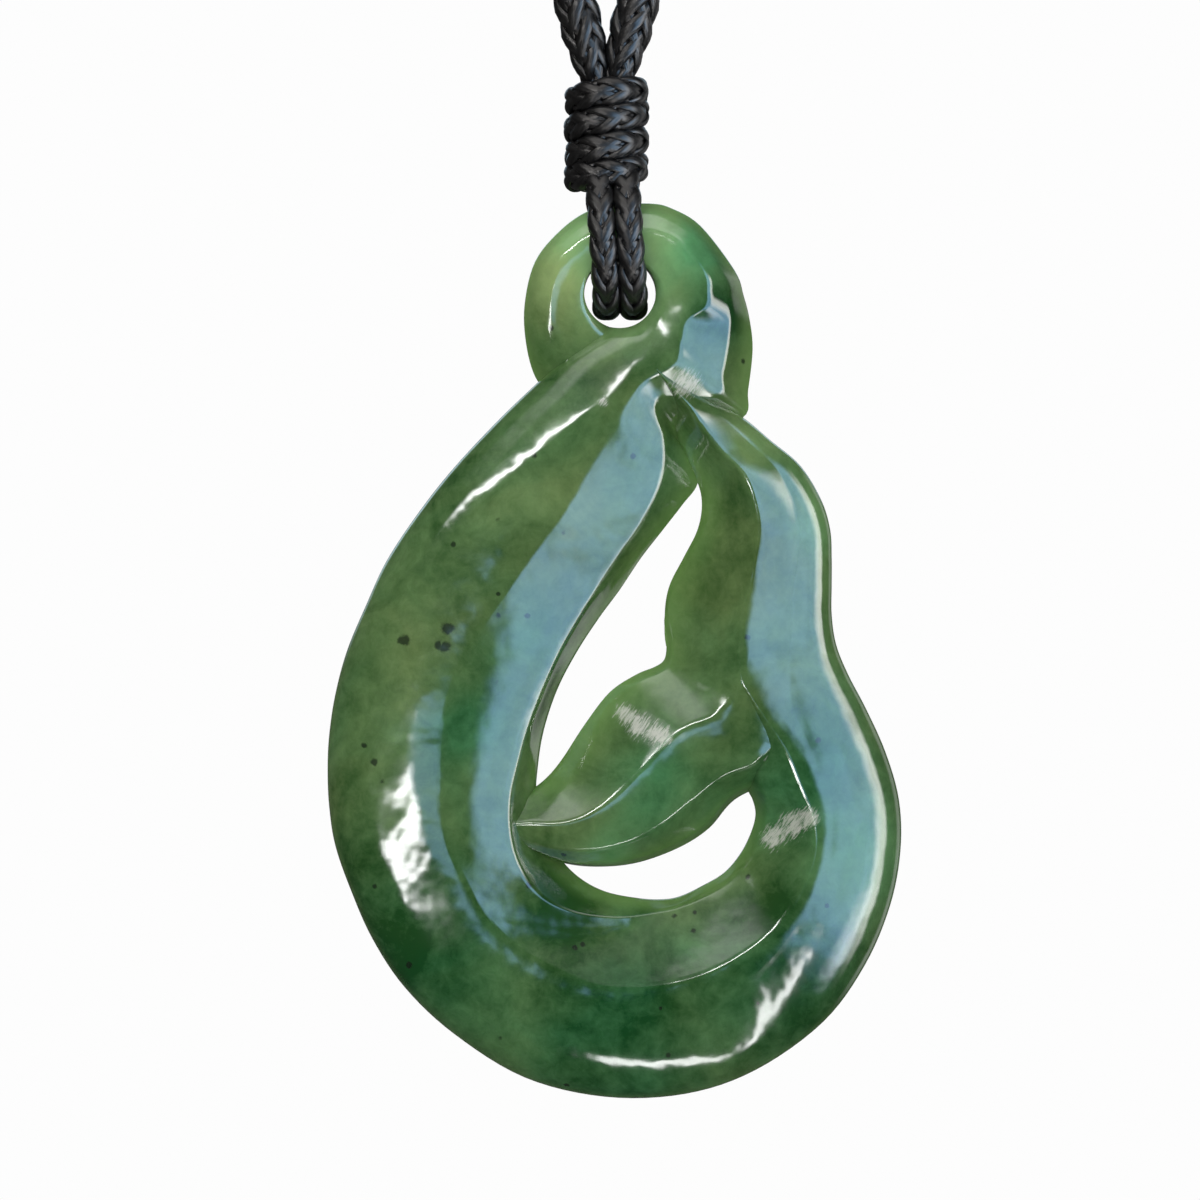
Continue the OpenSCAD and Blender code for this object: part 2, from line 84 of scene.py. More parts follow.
# From the ring's tucked end, clockwise round the hole, down the left side, round the bottom, up the
# right side, and into the tail's upper lobe
RIBBON = [
    (-0.2, -2.6, -4.6, -7.0, 0.14, 0.62, 0.88, 1.7, 1.7, 1.2, -0.05, 0),
    (-1.2, -1.8, -5.7, -5.6, 0.13, 0.62, 0.87, 1.9, 1.9, 1.3, -0.06, 0),
    (-1.8, -0.9, -6.3, -3.4, 0.12, 0.62, 0.86, 2, 2.1, 1.5, -0.08, 0),
    (-2.0, 0.0, -6.4, -0.8, 0.11, 0.62, 0.86, 2.15, 2.25, 1.6, -0.08, 0),
    (-1.7, 1.0, -5.7, 2.1, 0.11, 0.62, 0.86, 2.3, 2.4, 1.7, -0.06, 0),
    (-1.2, 1.6, -4.0, 4.2, 0.11, 0.62, 0.86, 2.4, 2.5, 1.75, -0.04, 0),
    (-0.6, 1.9, -2.1, 5.5, 0.11, 0.62, 0.86, 2.45, 2.55, 1.8, -0.04, 0),
    (0.0, 2.0, 0.0, 5.9, 0.11, 0.58, 0.86, 2.5, 2.6, 1.8, -0.04, 0),
    (0.6, 1.9, 2.0, 6.0, 0.11, 0.54, 0.86, 2.55, 2.65, 1.75, -0.04, 0),
    (1.0, 1.7, 3.4, 5.7, 0.12, 0.60, 0.86, 2.55, 2.65, 1.7, -0.02, 0),
    (1.5, 1.3, 5.4, 4.5, 0.13, 0.65, 0.86, 2.65, 2.8, 1.85, 0, 0),
    (1.9, 0.7, 7.7, 1.5, 0.14, 0.66, 0.85, 2.8, 3, 2.1, 0, 0),
    (2.0, 0.4, 8.3, -0.2, 0.14, 0.63, 0.84, 2.85, 3.05, 1.95, 0, 0),
    (2.0, 0.0, 8.7, -1.8, 0.15, 0.56, 0.82, 2.9, 3.1, 2.15, 0, 0),
    (1.9, -0.7, 8.9, -3.8, 0.16, 0.37, 0.77, 3, 3.2, 2.1, 0.02, 0),
    (1.4, -1.4, 8.6, -6.5, 0.17, 0.38, 0.76, 3.1, 3.3, 2.2, 0.04, 0),
    (0.7, -2.0, 8.2, -8.4, 0.20, 0.42, 0.77, 3.3, 3.45, 2.2, 0.05, 0),
    (-0.5, -2.2, 4.2, -9.6, 0.32, 0.50, 0.66, 3.5, 3.6, 3, 0.04, 0),
    (-3.4, -4.0, 4.9, -11.3, 0.36, 0.47, 0.76, 3.75, 3.75, 2.7, -0.02, 0),
    (-5.6, -6.1, 5.2, -12.8, 0.30, 0.48, 0.79, 3.92, 3.85, 2.7, -0.1, 0),
    (-8.1, -8.5, 4.2, -14.2, 0.28, 0.51, 0.86, 4, 3.9, 2.55, -0.06, 0),
    (-11.1, -11.7, 2.8, -16.0, 0.24, 0.56, 0.90, 4, 3.95, 2.45, -0.06, 0),
    (-13.4, -14.6, 1.4, -17.8, 0.21, 0.57, 0.91, 3.95, 4, 2.45, -0.06, 0),
    (-15.6, -17.9, 0.0, -19.9, 0.19, 0.56, 0.91, 3.85, 4.05, 2.45, -0.08, 0),
    (-17.0, -20.9, -1.4, -21.8, 0.18, 0.54, 0.92, 3.75, 4.1, 2.55, -0.12, 0),
    (-18.3, -24.0, -2.9, -24.1, 0.18, 0.52, 0.93, 3.7, 4.15, 2.65, -0.18, 0),
    (-19.1, -27.0, -4.2, -26.6, 0.18, 0.52, 0.94, 3.65, 4.2, 2.75, -0.25, 0),
    (-19.5, -29.7, -5.1, -29.3, 0.19, 0.52, 0.93, 3.6, 4.2, 2.85, -0.32, 0),
    (-19.6, -32.0, -5.5, -31.7, 0.20, 0.53, 0.91, 3.6, 4.2, 2.95, -0.32, 0),
    (-19.5, -34.4, -5.6, -34.0, 0.22, 0.53, 0.88, 3.6, 4.2, 3.05, -0.28, 0),
    (-19.1, -37.0, -5.0, -36.4, 0.24, 0.53, 0.84, 3.65, 4.2, 3.2, -0.15, 0),
    (-18.1, -39.9, -3.8, -38.2, 0.26, 0.53, 0.80, 3.75, 4.2, 3.3, 0, 0),
    (-16.6, -43.3, -2.5, -39.4, 0.27, 0.52, 0.79, 3.85, 4.2, 3.35, 0.08, 0),
    (-14.4, -46.6, -0.9, -40.2, 0.28, 0.52, 0.82, 3.95, 4.2, 3.1, 0.12, 0),
    (-11.1, -49.7, 1.1, -40.6, 0.30, 0.53, 0.87, 4, 4.2, 2.6, 0.15, 0),
    (-6.4, -52.6, 2.7, -40.7, 0.32, 0.54, 0.93, 4, 4.2, 2, 0.1, 0),
    (-1.0, -53.9, 4.0, -40.5, 0.34, 0.57, 0.95, 4, 4.2, 1.7, 0.1, 0),
    (4.4, -53.7, 5.5, -39.8, 0.38, 0.58, 0.95, 4, 4.2, 1.5, 0.1, 0),
    (9.1, -52.1, 7.0, -38.9, 0.42, 0.59, 0.95, 4, 4.2, 1.5, 0.1, 0),
    (13.6, -48.9, 8.1, -37.6, 0.46, 0.58, 0.94, 3.95, 4.15, 1.5, 0.1, 0),
    (16.4, -45.1, 8.8, -36.2, 0.47, 0.58, 0.94, 3.95, 4.1, 1.6, 0.1, 0),
    (18.1, -41.1, 9.1, -35.0, 0.48, 0.58, 0.93, 3.9, 4.05, 1.7, 0.1, 0),
    (18.8, -37.4, 8.9, -34.0, 0.48, 0.60, 0.92, 3.85, 4, 1.9, 0.05, 0),
    (18.7, -34.0, 8.5, -33.2, 0.49, 0.64, 0.90, 3.8, 3.95, 2.6, 0, 0),
    (17.8, -30.8, 7.5, -30.6, 0.50, 0.66, 0.87, 3.65, 3.86, 2.8, 0, 0),
    (16.5, -27.9, 5.8, -27.7, 0.48, 0.70, 0.77, 3.4, 3.85, 2.7, 0, 0),
    (15.3, -25.6, 4.6, -25.8, 0.38, 0.69, 0.76, 3.1, 3.8, 2.8, 0, 0),
    (14.5, -23.6, 3.2, -24.0, 0.28, 0.57, 0.66, 2.7, 3.7, 2.3, 0.03, 0),
    (14.2, -21.6, 3.0, -21.7, 0.24, 0.54, 0.96, 2.5, 3.5, 0.9, 0.1, 0),
    (14.2, -19.6, 3.3, -19.7, 0.24, 0.51, 0.96, 2.45, 3.4, 0.9, 0.1, 0),
    (14.2, -17.8, 4.3, -17.7, 0.24, 0.53, 0.96, 2.4, 3.4, 0.9, 0.1, 0),
    (14.1, -15.9, 5.2, -15.9, 0.24, 0.55, 0.96, 2.4, 3.4, 0.9, 0.1, 0),
    (13.5, -13.9, 5.5, -14.2, 0.24, 0.57, 0.95, 2.3, 3.4, 0.9, 0.1, 0),
    (12.1, -11.6, 5.2, -12.7, 0.24, 0.56, 0.95, 2.3, 3.4, 1, 0.1, 0),
    (10.1, -9.9, 4.2, -11.0, 0.24, 0.59, 0.94, 2.35, 3.45, 1.1, 0.1, 0),
    (8.3, -8.4, 3.6, -9.6, 0.25, 0.60, 0.92, 2.6, 3.5, 1.3, 0.1, 0),
    (6.5, -7.4, 3.5, -8.2, 0.26, 0.60, 0.90, 2.9, 3.7, 1.6, 0.1, 0),
    (4.5, -6.4, 3.0, -6.8, 0.28, 0.60, 0.90, 3.2, 3.85, 2, 0, 0),
    (2.6, -5.1, 2.3, -5.3, 0.35, 0.60, 0.90, 3.5, 3.9, 2.8, 0, 0),
]
# Rows at which the ribbon is made in stretches, so that none passes through itself
RING_END = 13
TAIL_START = 45

# The tail's lower lobe, from its pointed end to its root in the band
LOBE = [
    (-8.0, -35.7, -8.1, -35.3, 0.30, 0.60, 0.90, 2.1, 2.2, 1.7, 0, 1.8),
    (-7.2, -36.6, -7.5, -34.8, 0.22, 0.60, 0.92, 2.4, 2.6, 1.6, 0, 2.0),
    (-5.7, -37.5, -6.4, -33.7, 0.18, 0.56, 0.94, 2.6, 2.8, 1.3, 0.1, 1.9),
    (-3.6, -38.3, -5.0, -32.6, 0.17, 0.50, 0.95, 2.7, 3, 0.8, 0, 1.5),
    (-1.2, -38.5, -3.9, -31.3, 0.16, 0.48, 0.96, 2.85, 3.15, 0.6, 0, 1.2),
    (1.3, -38.2, -2.4, -29.0, 0.16, 0.48, 0.96, 2.95, 3.3, 0.55, 0, 1.1),
    (4.0, -37.2, -0.7, -26.8, 0.18, 0.52, 0.96, 3.05, 3.45, 0.7, 0, 1.1),
    (6.0, -35.9, 1.1, -25.6, 0.20, 0.57, 0.96, 3.15, 3.5, 1.1, 0, 1.1),
    (7.7, -34.0, 2.3, -25.1, 0.17, 0.57, 0.96, 3.35, 3.65, 1.1, 0, 1.2),
    (10.6, -32.4, 2.9, -24.7, 0.15, 0.55, 0.96, 3.5, 3.75, 1.1, 0, 1.2),
    (13.0, -29.5, 3.1, -24.1, 0.18, 0.53, 0.96, 3.1, 3.82, 1.1, 0, 1.2),
    (14.0, -25.8, 3.1, -23.1, 0.25, 0.55, 0.96, 2.2, 3.72, 1, 0, 1.2),
    (13.8, -21.7, 3.0, -21.7, 0.25, 0.52, 0.96, 2, 3.48, 0.9, 0, 1.2),
    (13.4, -19.9, 3.7, -19.9, 0.25, 0.50, 0.96, 1.8, 3, 0.7, 0, 1.2),
]

# Route of one loop strand from the hole's centre, in depth and height: out of the knot, down the
# ring's front, through the hole, and up the back
STRAND_ROUTE = [
    (-0.9, 9.5), (-1.3, 8.3), (-2.2, 7.2), (-3.2, 6.0), (-3.8, 4.5), (-3.9, 2.7),
    (-3.4, 1.0), (-1.9, -0.5), (0.0, -1.0), (1.9, -0.5), (3.4, 1.0), (3.9, 2.7),
    (3.8, 4.5), (3.2, 6.0), (2.2, 7.2), (1.3, 8.3), (0.9, 9.5),
]

# Route of the right half of the neck cord, from the knot to the nape
NECK_ROUTE = [
    (0.8, -115, -241.5), (0.8, -115, -240.5), (1.0, -115, -239.4), (1.6, -115, -237),
    (2.5, -115, -233.5), (3.9, -115, -228), (8.4, -115, -210), (18.6, -115, -170),
    (28.7, -115, -130), (38.3, -113, -92), (47, -108, -60), (54, -97, -36),
    (58, -80, -20), (59, -62, -11), (57, -44, -6), (50, -26, -3),
    (38, -12, -1), (20, -3, 0), (0, 0, 0),
]


class PendantStone(bpy.types.PropertyGroup):
    """Sizes and colours of the carved stone."""

    hole: FloatProperty(
        name="Hole", description="Diameter of the drilled hole", default=0.0048, unit="LENGTH"
    )
    softness: FloatProperty(
        name="Edge softness",
        description="Radius worn on each crease and edge by polishing",
        default=0.00022,
        unit="LENGTH",
    )
    rows: IntProperty(
        name="Rows", description="Sections made between two rows of the tables", default=6
    )
    olive_deep: FloatVectorProperty(
        name="Deep olive", description="Yellowish green where the stone is dark",
        default=(0.020, 0.064, 0.010), subtype="COLOR",
    )
    olive_pale: FloatVectorProperty(
        name="Pale olive", description="Yellowish green where the stone is pale and cloudy",
        default=(0.33, 0.46, 0.18), subtype="COLOR",
    )
    emerald_deep: FloatVectorProperty(
        name="Deep emerald", description="Bluish green where the stone is dark",
        default=(0.004, 0.058, 0.012), subtype="COLOR",
    )
    emerald_pale: FloatVectorProperty(
        name="Pale emerald", description="Bluish green where the stone is pale and cloudy",
        default=(0.16, 0.46, 0.20), subtype="COLOR",
    )
    glow: FloatVectorProperty(
        name="Edge glow", description="Colour where light comes through a thin edge",
        default=(0.20, 0.36, 0.10), subtype="COLOR",
    )


class PendantCord(bpy.types.PropertyGroup):
    """Sizes and colours of the braided cords."""

    neck: FloatProperty(
        name="Neck cord", description="Diameter of the thick cord", default=0.0031, unit="LENGTH"
    )
    black: FloatVectorProperty(
        name="Cord", description="Colour of the waxed yarn", default=(0.003, 0.003, 0.003),
        subtype="COLOR",
    )


class PendantStudio(bpy.types.PropertyGroup):
    """The camera's place and the studio's light."""

    distance: FloatProperty(
        name="Distance", description="From the camera to the stone", default=0.6, unit="LENGTH"
    )
    width: FloatProperty(
        name="View width", description="Width of the view at the stone", default=0.08054,
        unit="LENGTH",
    )
    key: FloatProperty(name="Light", description="Strength of all the lamps", default=1.0)


def deselect():
    """Leaves nothing selected, so that an operator acts on one piece alone."""
    for ob in bpy.context.view_layer.objects:
        ob.select_set(False)


def select_only(ob):
    deselect()
    ob.select_set(True)
    bpy.context.view_layer.objects.active = ob


def new_piece(name, points, faces):
    """A mesh object at the origin from points in millimetres."""
    mesh = bpy.data.meshes.new(name)
    mesh.from_pydata((np.asarray(points) * MM).tolist(), [], faces)
    mesh.update()
    ob = bpy.data.objects.new(name, mesh)
    bpy.context.scene.collection.objects.link(ob)
    return ob


def curve_through(rows, steps):
    """A table's rows with smooth rows put in between, so that each gap has this many steps."""
    rows = np.array(rows, float)
    last = len(rows) - 1
    out = []
    for i in range(last):
        a, b, c, d = rows[max(i - 1, 0)], rows[i], rows[i + 1], rows[min(i + 2, last)]
        for s in range(steps):
            t = s / steps
            out.append(
                0.5 * (2 * b + (c - a) * t + (2 * a - 5 * b + 4 * c - d) * t * t
                       + (3 * b - a - 3 * c + d) * t ** 3)
            )
    out.append(rows[last])
    return np.array(out)


# Steps along each face of a section, and along each softened corner
OUTER_STEPS, LIP_STEPS, TOP_STEPS, BEVEL_STEPS, WALL_STEPS, SOFT_STEPS = 11, 4, 7, 8, 6, 4
# The most of a face's length that a softened corner takes
SOFT_SHARE = 0.35
# How far in the upright rim leans at its top, as a share of the width
RIM_LEAN = 0.03
# The round rim's upright side and the handles of the curve from it to the crown, as shares of the
# crown's height and place
RIM_SIDE, RIM_FULLNESS, CROWN_FULLNESS = 0.2, 0.8, 0.1
# The most that is left of half the thickness at the wall's foot, in millimetres
WALL_FOOT = 0.4
# How far the face between crown and crease bulges, as a share of its width
CROWNING = 0.03


def softened(before, corner, after):
    """The short curve that takes a corner's place."""
    for i in range(SOFT_STEPS + 1):
        t = i / SOFT_STEPS
        yield (1 - t) ** 2 * before + 2 * t * (1 - t) * corner + t * t * after


def face_between(start, end, bulge=0.0):
    """A face of a section, which bulges most halfway, by the share of its length."""
    def point(t):
        return start + (end - start) * t + np.array([0, bulge * 4 * t * (1 - t)])

    return point


def inner_points(line, soft, steps):
    """A face's points between its two softened ends."""
    return [line(soft + (1 - 2 * soft) * i / steps) for i in range(1, steps)]


def half_section(row, soft):
    """A section's front half as places across the band and half thicknesses, in millimetres."""
    width = math.hypot(row[LX] - row[RX], row[LZ] - row[RZ])
    places = [RIM_LEAN, row[CROWN], row[CREASE], row[WALL], 1]
    low = min(WALL_FOOT, row[WALL_H] / 2)
    heights = [row[LIP_H], row[CROWN_H], row[CREASE_H], row[WALL_H], low]
    lip, crown, crease, wall, foot = np.column_stack([places, heights])
    lip_soft, top_soft, bevel_soft, side_soft = [
        min(SOFT_SHARE, soft / (length * width)) for length in np.diff(places)
    ]
    bulge = CROWNING * (crease[0] - crown[0]) * width
    rise = (crease[1] - crown[1] + 4 * bulge) / (crease[0] - crown[0])
    upright_rim = face_between(lip, crown)
    top = face_between(crown, crease, bulge)
    bevel = face_between(crease, wall, -row[HOLLOW])
    side = face_between(wall, foot)

    def round_rim(t):
        back = CROWN_FULLNESS * crown[0]
        ends = ((0, RIM_SIDE * crown[1]), (0, RIM_FULLNESS * crown[1]),
                crown - (back, back * rise), crown)
        weights = ((1 - t) ** 3, 3 * t * (1 - t) ** 2, 3 * t * t * (1 - t), t ** 3)
        return sum(w * np.array(end) for w, end in zip(weights, ends))

    points = [np.zeros(2)]
    if row[LIP_H] > 0:
        points += [lip * t for t in (0.25, 0.5)]
        points += softened(lip * 0.75, lip, upright_rim(lip_soft))
        points += inner_points(upright_rim, lip_soft, LIP_STEPS)
        points += softened(upright_rim(1 - lip_soft), crown, top(top_soft))
    else:
        points += [round_rim(i / OUTER_STEPS) for i in range(OUTER_STEPS + 1)]
        points.append(top(top_soft))
    points += inner_points(top, top_soft, TOP_STEPS)
    points += softened(top(1 - top_soft), crease, bevel(bevel_soft))
    points += inner_points(bevel, bevel_soft, BEVEL_STEPS)
    points += softened(bevel(1 - bevel_soft), wall, side(side_soft))
    points += [side(side_soft + (1 - side_soft) * i / WALL_STEPS) for i in range(1, WALL_STEPS + 1)]
    points.append(np.array([1.0, 0.0]))
    return np.array(points)


def section(row, soft, grow=1.0):
    """A closed section in space, front half first, then the back half, which mirrors it.

    With each point come its place across the band in millimetres, and its face: 0 to 1 from rim to
    crown, to 2 at the crease, to 3 at the wall's edge, and to 4 at its foot.
    """
    half = half_section(row, soft)
    across = 0.5 + (half[:, 0] - 0.5) * grow
    x = row[RX] + (row[LX] - row[RX]) * across
    z = row[RZ] + (row[LZ] - row[RZ]) * across
    front = np.column_stack([x, -half[:, 1] * grow, z])
    width = math.hypot(row[LX] - row[RX], row[LZ] - row[RZ])
    face = np.interp(half[:, 0], [0, row[CROWN], row[CREASE], row[WALL], 1], range(5))
    marks = np.column_stack([half[:, 0] * width, face])
    back = front[-2:0:-1] * (1, -1, 1)
    return HOLE + np.concatenate([front, back]), np.concatenate([marks, marks[-2:0:-1]])


def skin(name, sections, along):
    """A closed mesh skinned over sections that all have the same number of points.

    Its attribute "band" keeps each point's place along and across the band, and its face.
    """
    count, last = len(sections[0][0]), len(sections) - 1
    faces = [list(range(count - 1, -1, -1))]
    for k in range(last):
        for i in range(count):
            n = (i + 1) % count
            faces.append([k * count + i, k * count + n, (k + 1) * count + n, (k + 1) * count + i])
    faces.append([last * count + i for i in range(count)])
    piece = new_piece(name, np.concatenate([points for points, marks in sections]), faces)
    marks = np.concatenate([marks for points, marks in sections])
    band = np.column_stack([np.repeat(along, count), marks])
    attribute = piece.data.attributes.new("band", "FLOAT_VECTOR", "POINT")
    attribute.data.foreach_set("vector", band.astype(np.float32).ravel())
    return piece


def along_rows(rows):
    """How far along the band each row lies, in millimetres."""
    middle = (rows[:, [RX, RZ]] + rows[:, [LX, LZ]]) / 2
    return np.concatenate([[0], np.cumsum(np.linalg.norm(np.diff(middle, axis=0), axis=1))])


def combine(ob, other, operation):
    """Joins the other solid to ob or cuts it away, and removes it."""
    select_only(ob)
    modifier = ob.modifiers.new("combine", "BOOLEAN")
    modifier.operation = operation
    modifier.solver = "EXACT"
    modifier.object = other
    bpy.ops.object.modifier_apply(modifier=modifier.name)
    bpy.data.objects.remove(other)


# Size of a stretch's hidden end inside its neighbour, as a share of the whole section
PLUG = 0.85
# Sides of the tool that cuts the hole, its length in metres, and the least angle of a sharp edge
DRILL_SIDES, DRILL_LENGTH = 192, 0.012
SHARP_ANGLE = math.radians(32)


def ribbon_stretches(sizes, soft):
    """The ribbon's stretches, each with its inner ends hidden in the next."""
    rows = curve_through(RIBBON, sizes.rows)
    far, last = along_rows(rows), len(rows) - 1
    cuts = [0, RING_END * sizes.rows, TAIL_START * sizes.rows, last]
    for start, stop in zip(cuts, cuts[1:]):
        picked = [(k, 1.0) for k in range(start, stop + 1)]
        if start > 0:
            picked.insert(0, (start - sizes.rows // 2, PLUG))
        if stop < last:
            picked.append((stop + sizes.rows // 2, PLUG))
        sections = [section(rows[k], soft, grow) for k, grow in picked]
        yield skin("stretch", sections, [far[k] for k, grow in picked])


def carve_hook(sizes):
    """The carving: the ribbon's stretches and the lower lobe in one solid, then the hole."""
    soft = sizes.softness / MM
    hook, *others = ribbon_stretches(sizes, soft)
    rows = curve_through(LOBE, sizes.rows)
    others.append(skin("lobe", [section(row, soft) for row in rows], along_rows(rows)))
    hook.name = hook.data.name = "carved_hook"
    for other in others:
        combine(hook, other, "UNION")
    deselect()
    bpy.ops.mesh.primitive_cylinder_add(
        vertices=DRILL_SIDES, radius=sizes.hole / 2, depth=DRILL_LENGTH, location=HOLE * MM,
        rotation=(math.pi / 2, 0, 0),
    )
    combine(hook, bpy.context.active_object, "DIFFERENCE")
    select_only(hook)
    bpy.ops.object.shade_smooth_by_angle(angle=SHARP_ANGLE)
    return hook


class Socket:
    """An output socket of a material's node, so that shader maths reads as Python."""

    def __init__(self, shader, link):
        self.shader = shader
        self.link = link

    def math(self, operation, *values):
        node = self.shader.node("ShaderNodeMath", {"operation": operation},
                                dict(enumerate(values)))
        return node.out("Value")

    def __add__(self, other):
        return self.math("ADD", self, other)

    def __sub__(self, other):
        return self.math("SUBTRACT", self, other)

    def __mul__(self, other):
        return self.math("MULTIPLY", self, other)

    def __truediv__(self, other):
        return self.math("DIVIDE", self, other)

    def __radd__(self, other):
        return self.math("ADD", other, self)

    def __rsub__(self, other):
        return self.math("SUBTRACT", other, self)

    def __rmul__(self, other):
        return self.math("MULTIPLY", other, self)

    def __rtruediv__(self, other):
        return self.math("DIVIDE", other, self)

    def __abs__(self):
        return self.math("ABSOLUTE", self)


class Node:
    """A node whose outputs are taken by name."""

    def __init__(self, shader, node):
        self.shader = shader
        self.node = node

    def out(self, name):
        return Socket(self.shader, next(s for s in self.node.outputs if s.name == name and s.enabled))


class Shader:
    """One material and its nodes."""

    def __init__(self, name):
        self.material = bpy.data.materials.new(name)
        self.material.use_nodes = True
        self.tree = self.material.node_tree
        self.tree.nodes.clear()

    def node(self, kind, settings=None, inputs=None):
        """Adds a node, sets its settings first, and then the values or links of its sockets."""
        made = self.tree.nodes.new(kind)
        for key, value in (settings or {}).items():
            setattr(made, key, value)
        for key, value in (inputs or {}).items():
            if isinstance(key, int):
                socket = made.inputs[key]
            else:
                socket = next(s for s in made.inputs if s.name == key and s.enabled)
            if isinstance(value, Socket):
                self.tree.links.new(value.link, socket)
            elif socket.type == "RGBA" and len(value) == 3:
                socket.default_value = (*value, 1)
            else:
                socket.default_value = value
        return Node(self, made)

    def mix(self, factor, a, b):
        """A colour between two colours."""
        return self.node("ShaderNodeMix", {"data_type": "RGBA"},
                         {"Factor": factor, "A": a, "B": b}).out("Result")

    def scaled(self, vector, by):
        """A vector times another, part by part."""
        return self.node("ShaderNodeVectorMath", {"operation": "MULTIPLY"},
                         {0: vector, 1: by}).out("Vector")

    def part(self, vector, axis):
        """One part of a vector."""
        return self.node("ShaderNodeSeparateXYZ", None, {"Vector": vector}).out(axis)

    def away(self, vector, x, z):
        """How far a vector is from the point at x and z."""
        return self.node("ShaderNodeVectorMath", {"operation": "DISTANCE"},
                         {0: vector, 1: (x, 0, z)}).out("Value")

    def noise(self, vector, scale, detail=2.0, roughness=0.5, distortion=0.0):
        return self.node("ShaderNodeTexNoise", {"noise_dimensions": "3D"}, {
            "Vector": vector, "Scale": scale, "Detail": detail, "Roughness": roughness,
            "Distortion": distortion,
        }).out("Fac")

    def fade(self, value, low, high):
        """0 below low, 1 above high, smooth between them."""
        return self.node("ShaderNodeMapRange", {"interpolation_type": "SMOOTHSTEP"}, {
            "Value": value, "From Min": low, "From Max": high,
        }).out("Result")

    def millimetres(self):
        """The place on the piece in millimetres."""
        place = self.node("ShaderNodeTexCoord").out("Object")
        return self.scaled(place, (1 / MM, 1 / MM, 1 / MM))

    def finish(self, surface):
        self.node("ShaderNodeOutputMaterial", None, {"Surface": surface})
        return self.material


# Clouds in the stone, and one painted highlight: to the right of the hole's centre and above it,
# radius, all in millimetres, then how much paler and how much more emerald the stone is there
CLOUDS_AND_HIGHLIGHT = [
    (-1, 4, 10, 0.95, 0.1), (7, -1.5, 3.5, -0.3, 0.6), (-5.5, 0, 4, 0.05, -0.5),
    (-3, -12, 9, 0.16, -0.1), (-17, -24, 9, 0.06, -0.1), (-19, -36, 7, -0.06, -0.3),
    (-14, -43, 10, -0.18, 0.45), (0, -50, 10, -0.12, 0.7), (11, -46, 8, -0.18, 0.8),
    (12, -33, 7, -0.06, 0.7), (-10, -29, 4, -0.04, 0.8), (-7, -24, 5, 0.02, 0.4),
    (15, -15, 6, 0.45, 0.5), (7, -18, 6, -0.1, -0.5), (2, -26, 5, 0.1, -0.1),
    (2, -33, 5, 0.06, 0.5), (17, -38, 6, 0.2, 0.3), (-1, -38, 3, 0.3, 0.3),
    # The place at 9, -10 is made paler as a painted highlight on the upper lobe's right face
    (9, -10, 4, 0.5, 0), (6, 3, 4, 0.05, 0.7), (-4, -41, 4, -0.4, 0.3),
    (10, -41, 4, -0.15, -0.2),
]
# Places on the front where the polish is worn, and its scratches are painted white as a highlight:
# right, up, and radius in millimetres
SCUFF_AND_HIGHLIGHT_PLACES = [
    (0.3, -28.2, 1.0), (1.3, -29.0, 1.3), (2.6, -29.6, 1.3), (10.2, -36.5, 1.2),
    (11.5, -35.6, 1.4), (12.6, -35.1, 1.1), (4.4, -6.1, 1.5), (-1.1, -7.4, 0.5),
]
# Lean of the scuffs' fine scratches from upright
HATCH_LEAN = math.radians(-35)
# Black specks that show: right, up, and radius in millimetres
SPECKS = [
    (-14.4, -23.3, 0.42), (-11.5, -22.5, 0.45), (-11.7, -23.7, 0.42), (-12.1, -23.6, 0.3),
    (-11.1, -16.9, 0.20), (-8.1, -21.6, 0.20), (-8.1, -20.2, 0.16), (-17.1, -30.3, 0.20),
    (-16.4, -31.4, 0.24), (-16.4, -39.7, 0.18), (-14.1, -45.0, 0.22), (-3.0, -43.8, 0.20),
    (-2.5, -43.6, 0.18), (2.7, -47.8, 0.14), (9.2, -47.5, 0.14), (4.9, -42.7, 0.20),
    (5.0, -41.5, 0.16), (13.8, -41.0, 0.18), (8.5, -23.1, 0.22), (-4.6, -2.4, 0.18),
]
SPECK_BLACK = (0.006, 0.012, 0.006)
SCUFF_HIGHLIGHT_WHITE = (0.62, 0.62, 0.56)
# Pale grey-green painted onto the bevel as its reflection of the soft light above
BEVEL_REFLECTION_GREY = (0.075, 0.105, 0.07)


def cloudy_green(shader, sizes, mm, front, depth):
    """The stone's body colour: broad clouds with a fine grain, and a painted yellow glow of light
    coming through where it is thin.
    """
    cloud = shader.noise(mm, 0.16, 5, 0.6, 1.0)
    grain = shader.noise(mm, 1.1, 5, 0.7, 0.4)
    tone = 0.22 + (cloud - 0.5) * 0.75 + (grain - 0.5) * 0.4
    hue = 0.35 + (shader.noise(mm, 0.13, 3, 0.5, 0.6) - 0.5) * 1.2
    for x, z, radius, paler, greener in CLOUDS_AND_HIGHLIGHT:
        near = 1 - shader.fade(shader.away(front, x, z), 0, radius)
        tone = tone + near * paler
        hue = hue + near * greener
    olive = shader.mix(tone, tuple(sizes.olive_deep), tuple(sizes.olive_pale))
    emerald = shader.mix(tone, tuple(sizes.emerald_deep), tuple(sizes.emerald_pale))
    # Where the stone is thin its colour is mixed toward the glow colour: a painted glow of light
    # coming through the edge
    thin = 1 - shader.fade(depth, 0.3, 2.2)
    return shader.mix(thin * 0.5, shader.mix(hue, olive, emerald), tuple(sizes.glow))


